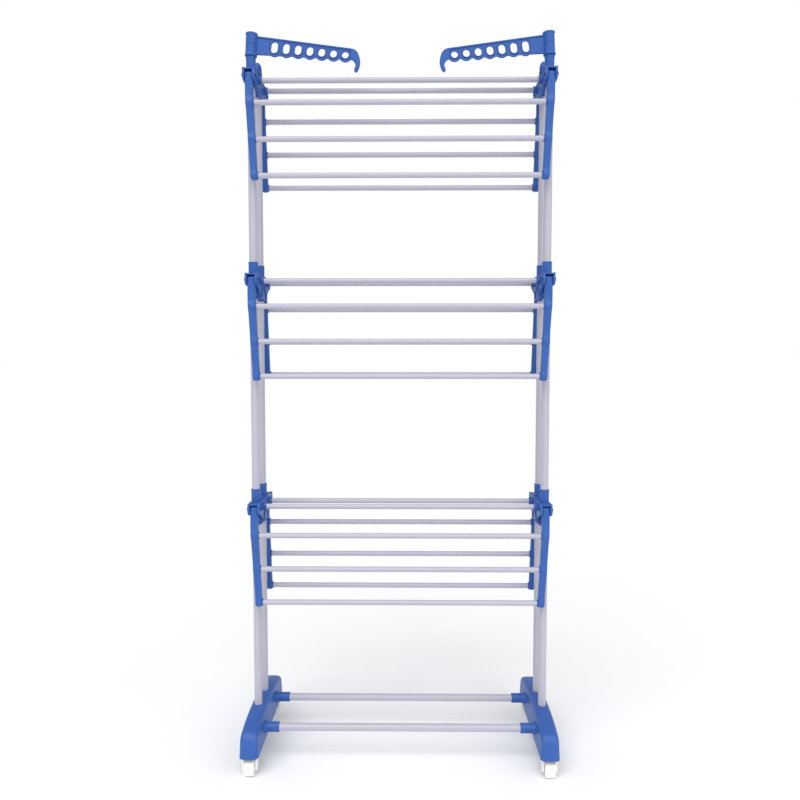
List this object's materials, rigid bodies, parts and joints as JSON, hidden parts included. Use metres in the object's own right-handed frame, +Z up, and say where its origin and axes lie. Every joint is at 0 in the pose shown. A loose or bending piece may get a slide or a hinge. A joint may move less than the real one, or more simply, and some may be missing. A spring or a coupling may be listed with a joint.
{
  "type": "clothes drying rack",
  "caption": "Tall folding clothes airer on castors: tiers of steel rods between twin posts, fold-down wings with blue plastic arms, and swivelling slotted hanger arms on top.",
  "frame": {"origin": "on the floor, at the centre of the footprint", "axes": "+Z up, +X to the right-hand posts, -Y the front, where the hanger arms are"},
  "size_m": [0.728, 0.346, 1.7009],
  "materials": {
    "blue_plastic": "moulded polypropylene, satin",
    "coated_steel": "light grey powder-coated steel tube, satin",
    "white_plastic": "moulded white nylon, satin",
    "plain_steel": "bright zinc-plated steel",
    "pin_plastic": "moulded polypropylene, satin"
  },
  "bodies": {
    "frame": {"foot_left": "blue_plastic", "foot_right": "blue_plastic", "base_rod_front": "coated_steel", "base_rod_back": "coated_steel", "post_bottom_front_left": "coated_steel", "post_bottom_front_right": "coated_steel", "post_bottom_back_left": "coated_steel", "post_bottom_back_right": "coated_steel", "post_middle_front_left": "coated_steel", "post_middle_front_right": "coated_steel", "post_middle_back_left": "coated_steel", "post_middle_back_right": "coated_steel", "post_top_front_left": "coated_steel", "post_top_front_right": "coated_steel", "post_top_back_left": "coated_steel", "post_top_back_right": "coated_steel", "bracket_bottom_left": "blue_plastic", "bracket_bottom_right": "blue_plastic", "bracket_middle_left": "blue_plastic", "bracket_middle_right": "blue_plastic", "bracket_top_left": "blue_plastic", "bracket_top_right": "blue_plastic", "fixed_rods_bottom": "coated_steel", "fixed_rods_middle": "coated_steel", "fixed_rods_top": "coated_steel", "hinge_pins": "pin_plastic", "hanger_pivots": "blue_plastic", "post_caps": "blue_plastic"},
    "wing_bottom_front": {"wing_arm_bottom_front_left": "blue_plastic", "wing_arm_bottom_front_right": "blue_plastic", "wing_rods_bottom_front": "coated_steel"},
    "wing_bottom_back": {"wing_arm_bottom_back_left": "blue_plastic", "wing_arm_bottom_back_right": "blue_plastic", "wing_rods_bottom_back": "coated_steel"},
    "wing_middle_front": {"wing_arm_middle_front_left": "blue_plastic", "wing_arm_middle_front_right": "blue_plastic", "wing_rods_middle_front": "coated_steel"},
    "wing_middle_back": {"wing_arm_middle_back_left": "blue_plastic", "wing_arm_middle_back_right": "blue_plastic", "wing_rods_middle_back": "coated_steel"},
    "wing_top_front": {"wing_arm_top_front_left": "blue_plastic", "wing_arm_top_front_right": "blue_plastic", "wing_rods_top_front": "coated_steel"},
    "wing_top_back": {"wing_arm_top_back_left": "blue_plastic", "wing_arm_top_back_right": "blue_plastic", "wing_rods_top_back": "coated_steel"},
    "hanger_left": {"hanger_arm_left": "blue_plastic"},
    "hanger_right": {"hanger_arm_right": "blue_plastic"},
    "castor_front_left": {"castor_fork_front_left": "white_plastic", "castor_axle_front_left": "plain_steel"},
    "wheel_front_left": {"castor_wheel_front_left": "white_plastic"},
    "castor_front_right": {"castor_fork_front_right": "white_plastic", "castor_axle_front_right": "plain_steel"},
    "wheel_front_right": {"castor_wheel_front_right": "white_plastic"},
    "castor_back_left": {"castor_fork_back_left": "white_plastic", "castor_axle_back_left": "plain_steel"},
    "wheel_back_left": {"castor_wheel_back_left": "white_plastic"},
    "castor_back_right": {"castor_fork_back_right": "white_plastic", "castor_axle_back_right": "plain_steel"},
    "wheel_back_right": {"castor_wheel_back_right": "white_plastic"}
  },
  "joints": [
    {"name": "wing_bottom_front_hinge", "type": "hinge", "parent": "frame", "child": "wing_bottom_front", "pos_m": [0, -0.072, 0.599], "axis": [-1, 0, 0], "range_deg": [0, 92.4]},
    {"name": "wing_bottom_back_hinge", "type": "hinge", "parent": "frame", "child": "wing_bottom_back", "pos_m": [0, 0.072, 0.599], "axis": [1, 0, 0], "range_deg": [0, 92.4]},
    {"name": "wing_middle_front_hinge", "type": "hinge", "parent": "frame", "child": "wing_middle_front", "pos_m": [0, -0.072, 1.135], "axis": [-1, 0, 0], "range_deg": [0, 92.4]},
    {"name": "wing_middle_back_hinge", "type": "hinge", "parent": "frame", "child": "wing_middle_back", "pos_m": [0, 0.072, 1.135], "axis": [1, 0, 0], "range_deg": [0, 92.4]},
    {"name": "wing_top_front_hinge", "type": "hinge", "parent": "frame", "child": "wing_top_front", "pos_m": [0, -0.072, 1.595], "axis": [-1, 0, 0], "range_deg": [0, 92.4]},
    {"name": "wing_top_back_hinge", "type": "hinge", "parent": "frame", "child": "wing_top_back", "pos_m": [0, 0.072, 1.595], "axis": [1, 0, 0], "range_deg": [0, 92.4]},
    {"name": "hanger_left_swivel", "type": "hinge", "parent": "frame", "child": "hanger_left", "pos_m": [-0.344, -0.039, 1.647], "axis": [0.0523, 0, 0.9986], "range_deg": [-180, 75]},
    {"name": "hanger_right_swivel", "type": "hinge", "parent": "frame", "child": "hanger_right", "pos_m": [0.344, -0.039, 1.647], "axis": [-0.0523, 0, 0.9986], "range_deg": [-75, 180]},
    {"name": "castor_front_left_swivel", "type": "hinge", "parent": "frame", "child": "castor_front_left", "pos_m": [-0.342, -0.145, 0.046], "axis": [0, 0, 1], "continuous": true},
    {"name": "wheel_front_left_spin", "type": "hinge", "parent": "castor_front_left", "child": "wheel_front_left", "pos_m": [-0.342, -0.154, 0.019], "axis": [1, 0, 0], "continuous": true},
    {"name": "castor_front_right_swivel", "type": "hinge", "parent": "frame", "child": "castor_front_right", "pos_m": [0.342, -0.145, 0.046], "axis": [0, 0, 1], "continuous": true},
    {"name": "wheel_front_right_spin", "type": "hinge", "parent": "castor_front_right", "child": "wheel_front_right", "pos_m": [0.342, -0.154, 0.019], "axis": [1, 0, 0], "continuous": true},
    {"name": "castor_back_left_swivel", "type": "hinge", "parent": "frame", "child": "castor_back_left", "pos_m": [-0.342, 0.145, 0.046], "axis": [0, 0, 1], "continuous": true},
    {"name": "wheel_back_left_spin", "type": "hinge", "parent": "castor_back_left", "child": "wheel_back_left", "pos_m": [-0.342, 0.154, 0.019], "axis": [1, 0, 0], "continuous": true},
    {"name": "castor_back_right_swivel", "type": "hinge", "parent": "frame", "child": "castor_back_right", "pos_m": [0.342, 0.145, 0.046], "axis": [0, 0, 1], "continuous": true},
    {"name": "wheel_back_right_spin", "type": "hinge", "parent": "castor_back_right", "child": "wheel_back_right", "pos_m": [0.342, 0.154, 0.019], "axis": [1, 0, 0], "continuous": true}
  ]
}
